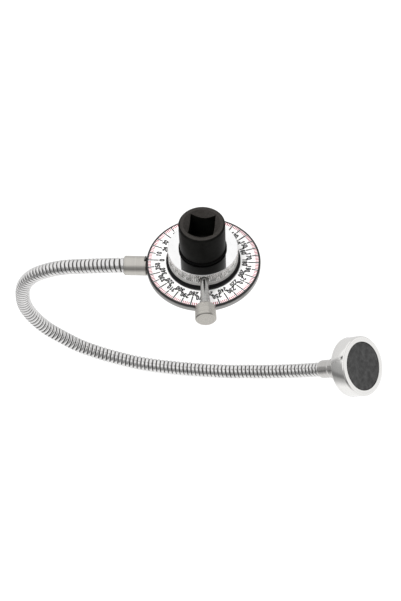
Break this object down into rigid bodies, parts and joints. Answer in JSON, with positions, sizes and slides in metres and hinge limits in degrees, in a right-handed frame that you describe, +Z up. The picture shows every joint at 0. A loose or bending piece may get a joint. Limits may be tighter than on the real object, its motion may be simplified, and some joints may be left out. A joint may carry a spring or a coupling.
{
  "type": "torque angle gauge",
  "caption": "Torque angle gauge: half-inch drive through a turning degree dial, clamp ring with a thumb screw as pointer, and a bendable arm ending in a pot magnet.",
  "frame": {"origin": "centre of the male square's end face", "axes": "+Z up along the drive axis towards the female square, -Y towards the viewer along the thumb screw, the arm leaves the dial on the -X side"},
  "size_m": [0.2076, 0.0751, 0.1451],
  "materials": {
    "black_oxide_steel": "black oxide, satin",
    "bright_steel": "bright turned",
    "spring_steel": "plain",
    "turned_aluminium": "fine turned, knurled side",
    "satin_steel": "satin plated",
    "chromed_steel": "bright chrome",
    "nickelled_steel": "bright nickel, turned",
    "printed_white": "printed, satin",
    "black_nylon": "moulded, satin",
    "black_rubber": "smooth",
    "bronze": "machined",
    "ferrite": "matt ceramic, ground"
  },
  "bodies": {
    "drive": {"drive_spindle": "black_oxide_steel", "detent_spring": "spring_steel", "collar_o_ring": "black_rubber", "circlip": "spring_steel"},
    "detent": {"detent_ball": "bright_steel"},
    "ring": {"pointer_ring": "turned_aluminium", "friction_collar": "black_nylon"},
    "pad": {"clamp_pad": "black_nylon"},
    "screw": {"thumb_screw_rod": "bright_steel", "thumb_screw_knob": "satin_steel"},
    "dial": {"scale_plate": "printed_white", "base_disc": "turned_aluminium", "hub_bush": "bronze", "thrust_washer": "bright_steel", "arm_bracket": "black_oxide_steel", "bracket_screw_1": "bright_steel", "bracket_screw_2": "bright_steel", "dial_ferrule": "satin_steel", "gooseneck_1": "chromed_steel"},
    "arm_2": {"gooseneck_2": "chromed_steel"},
    "arm_3": {"gooseneck_3": "chromed_steel"},
    "arm_4": {"gooseneck_4": "chromed_steel"},
    "arm_5": {"gooseneck_5": "chromed_steel"},
    "arm_6": {"gooseneck_6": "chromed_steel"},
    "magnet": {"gooseneck_7": "chromed_steel", "magnet_ferrule": "satin_steel", "magnet_stud": "bright_steel", "magnet_pot": "nickelled_steel", "magnet_disc": "ferrite"}
  },
  "joints": [
    {"name": "dial_turn", "type": "hinge", "parent": "drive", "child": "dial", "pos_m": [0, 0, 0], "axis": [0, 0, 1], "continuous": true},
    {"name": "ring_turn", "type": "hinge", "parent": "drive", "child": "ring", "pos_m": [0, 0, 0], "axis": [0, 0, 1], "continuous": true},
    {"name": "pad_slide", "type": "slide", "parent": "ring", "child": "pad", "axis": [0, -1, 0], "range_m": [0, 0.0016]},
    {"name": "thumb_screw_turn", "type": "hinge", "parent": "pad", "child": "screw", "pos_m": [0, 0, 0.03425], "axis": [0, -1, 0], "range_deg": [0, 720]},
    {"name": "detent_press", "type": "slide", "parent": "drive", "child": "detent", "axis": [0.1478, 0.989, 0], "range_m": [0, 0.0011], "stiffness_N_per_m": 4000, "springref_m": -0.001, "deforming": ["detent_spring"]},
    {"name": "arm_bend_1", "type": "hinge", "parent": "dial", "child": "arm_2", "pos_m": [-0.07731, 0.0125, 0.01136], "axis": [-0.2239, -0.9722, -0.069], "range_deg": [-15, 10]},
    {"name": "arm_bend_2", "type": "hinge", "parent": "arm_2", "child": "arm_3", "pos_m": [-0.10417, 0.02096, -0.02091], "axis": [-0.9612, 0.2082, 0.1811], "range_deg": [-15, 15]},
    {"name": "arm_bend_3", "type": "hinge", "parent": "arm_3", "child": "arm_4", "pos_m": [-0.09082, 0.02078, -0.06152], "axis": [-0.2237, -0.9722, -0.0687], "range_deg": [-15, 10]},
    {"name": "arm_bend_4", "type": "hinge", "parent": "arm_4", "child": "arm_5", "pos_m": [-0.05227, 0.01337, -0.08149], "axis": [-0.1976, 0.1144, -0.9736], "range_deg": [-15, 15]},
    {"name": "arm_bend_5", "type": "hinge", "parent": "arm_5", "child": "arm_6", "pos_m": [-0.00885, 0.00331, -0.08131], "axis": [-0.2237, -0.9722, -0.0689], "range_deg": [-15, 10]},
    {"name": "arm_bend_6", "type": "hinge", "parent": "arm_6", "child": "magnet", "pos_m": [0.03367, -0.00683, -0.07161], "axis": [0.3036, -0.0023, -0.9528], "range_deg": [-15, 15]}
  ],
  "couplings": [
    {"joint": "pad_slide", "follows": "thumb_screw_turn", "m_per_rad": 0.00012732}
  ]
}
